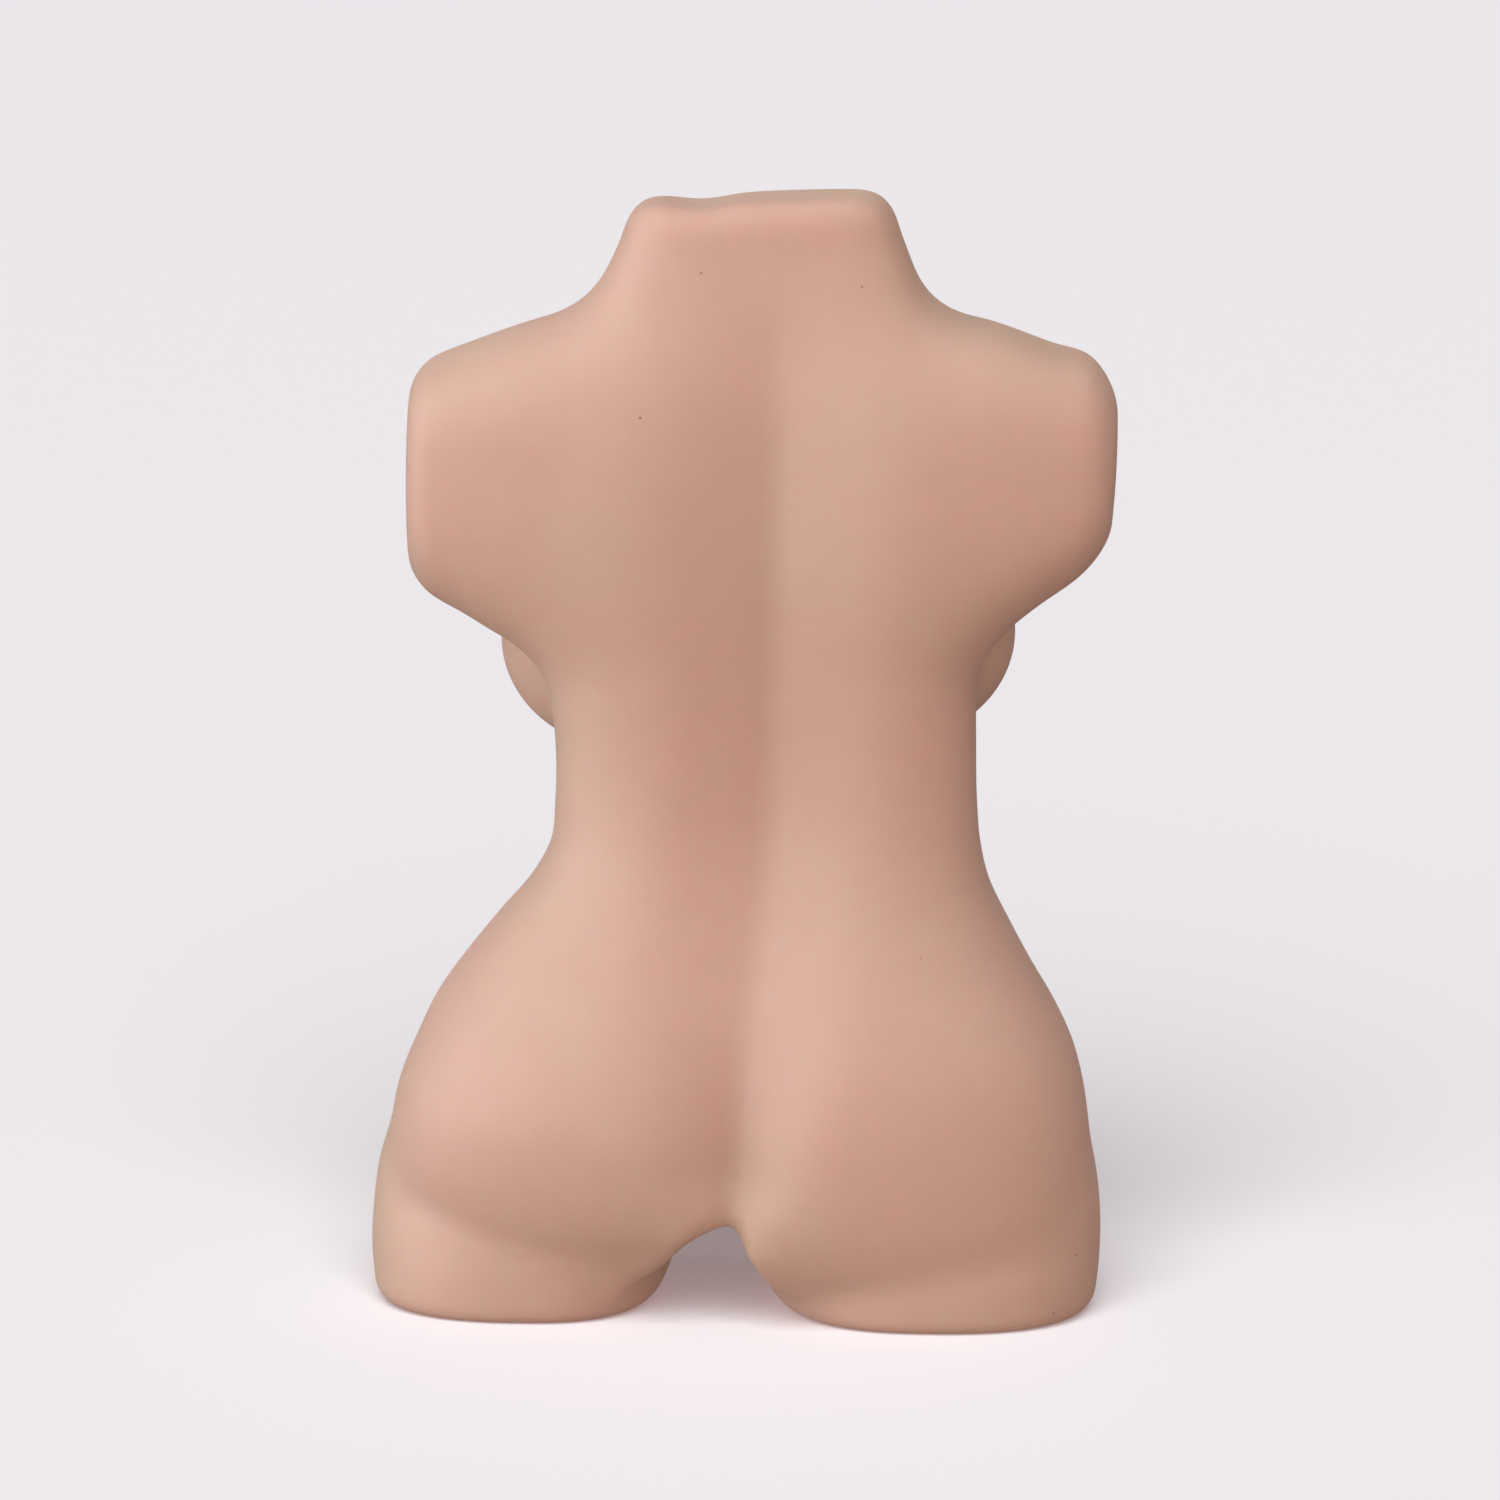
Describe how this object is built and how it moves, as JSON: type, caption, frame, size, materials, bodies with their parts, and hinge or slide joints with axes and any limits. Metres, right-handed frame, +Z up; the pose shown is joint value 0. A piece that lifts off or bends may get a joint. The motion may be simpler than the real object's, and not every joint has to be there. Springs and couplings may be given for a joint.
{
  "type": "limbless torso mannequin",
  "caption": "Headless, armless soft torso mannequin that stands on two short thigh stumps, with a moulded skin, a foam core and a tube frame with a friction hinge at the waist.",
  "frame": {"origin": "on the floor, under the middle of the figure's bounding box", "axes": "+Z up through the neck, +Y towards the figure's back, +X towards the figure's left side"},
  "size_m": [0.3714, 0.2422, 0.56],
  "materials": {
    "skin": "soft matte elastomer",
    "gel": "translucent soft gel",
    "foam": "open cell polyurethane foam",
    "tube_steel": "drawn tube",
    "clamp_steel": "black painted cast steel",
    "plate_steel": "zinc plated",
    "hinge_steel": "machined",
    "fastener_steel": "dark oiled steel",
    "nylon": "natural nylon",
    "boot_rubber": "black pleated rubber",
    "pad_rubber": "dense rubber sheet"
  },
  "bodies": {
    "pelvis": {"boot_tie_lower": "nylon", "foot_pad_left": "pad_rubber", "foot_pad_right": "pad_rubber", "foot_plate_left": "plate_steel", "foot_plate_right": "plate_steel", "fork_roll_pin": "fastener_steel", "hinge_bolt": "fastener_steel", "hinge_boot": "boot_rubber", "hinge_disc_spring": "fastener_steel", "hinge_fork": "hinge_steel", "hinge_friction_washers": "nylon", "hinge_nut": "fastener_steel", "hip_foam": "foam", "hip_skin": "skin", "pelvis_clamp": "clamp_steel", "pelvis_crossbar": "tube_steel", "pelvis_post": "tube_steel", "pelvis_set_screws": "fastener_steel", "thigh_clamp_left": "clamp_steel", "thigh_clamp_right": "clamp_steel", "thigh_post_left": "tube_steel", "thigh_post_right": "tube_steel", "waist_foam": "foam", "waist_skin": "skin"},
    "chest": {"chest_skin": "skin", "chest_foam": "foam", "chest_gel_pad_left": "gel", "chest_gel_pad_right": "gel", "hinge_tongue": "hinge_steel", "tongue_roll_pin": "fastener_steel", "boot_tie_upper": "nylon", "spine_tube": "tube_steel", "shoulder_clamp": "clamp_steel", "shoulder_bar": "tube_steel", "shoulder_plate_left": "plate_steel", "shoulder_plate_right": "plate_steel", "shoulder_pad_left": "pad_rubber", "shoulder_pad_right": "pad_rubber", "neck_post": "tube_steel", "neck_plate": "plate_steel", "neck_pad": "pad_rubber", "chest_set_screws": "fastener_steel"}
  },
  "joints": [
    {"name": "waist_bend", "type": "hinge", "parent": "pelvis", "child": "chest", "pos_m": [0, -0.004, 0.252], "axis": [1, 0, 0], "range_deg": [-10, 20], "deforming": ["waist_skin", "waist_foam", "hinge_boot"]}
  ]
}
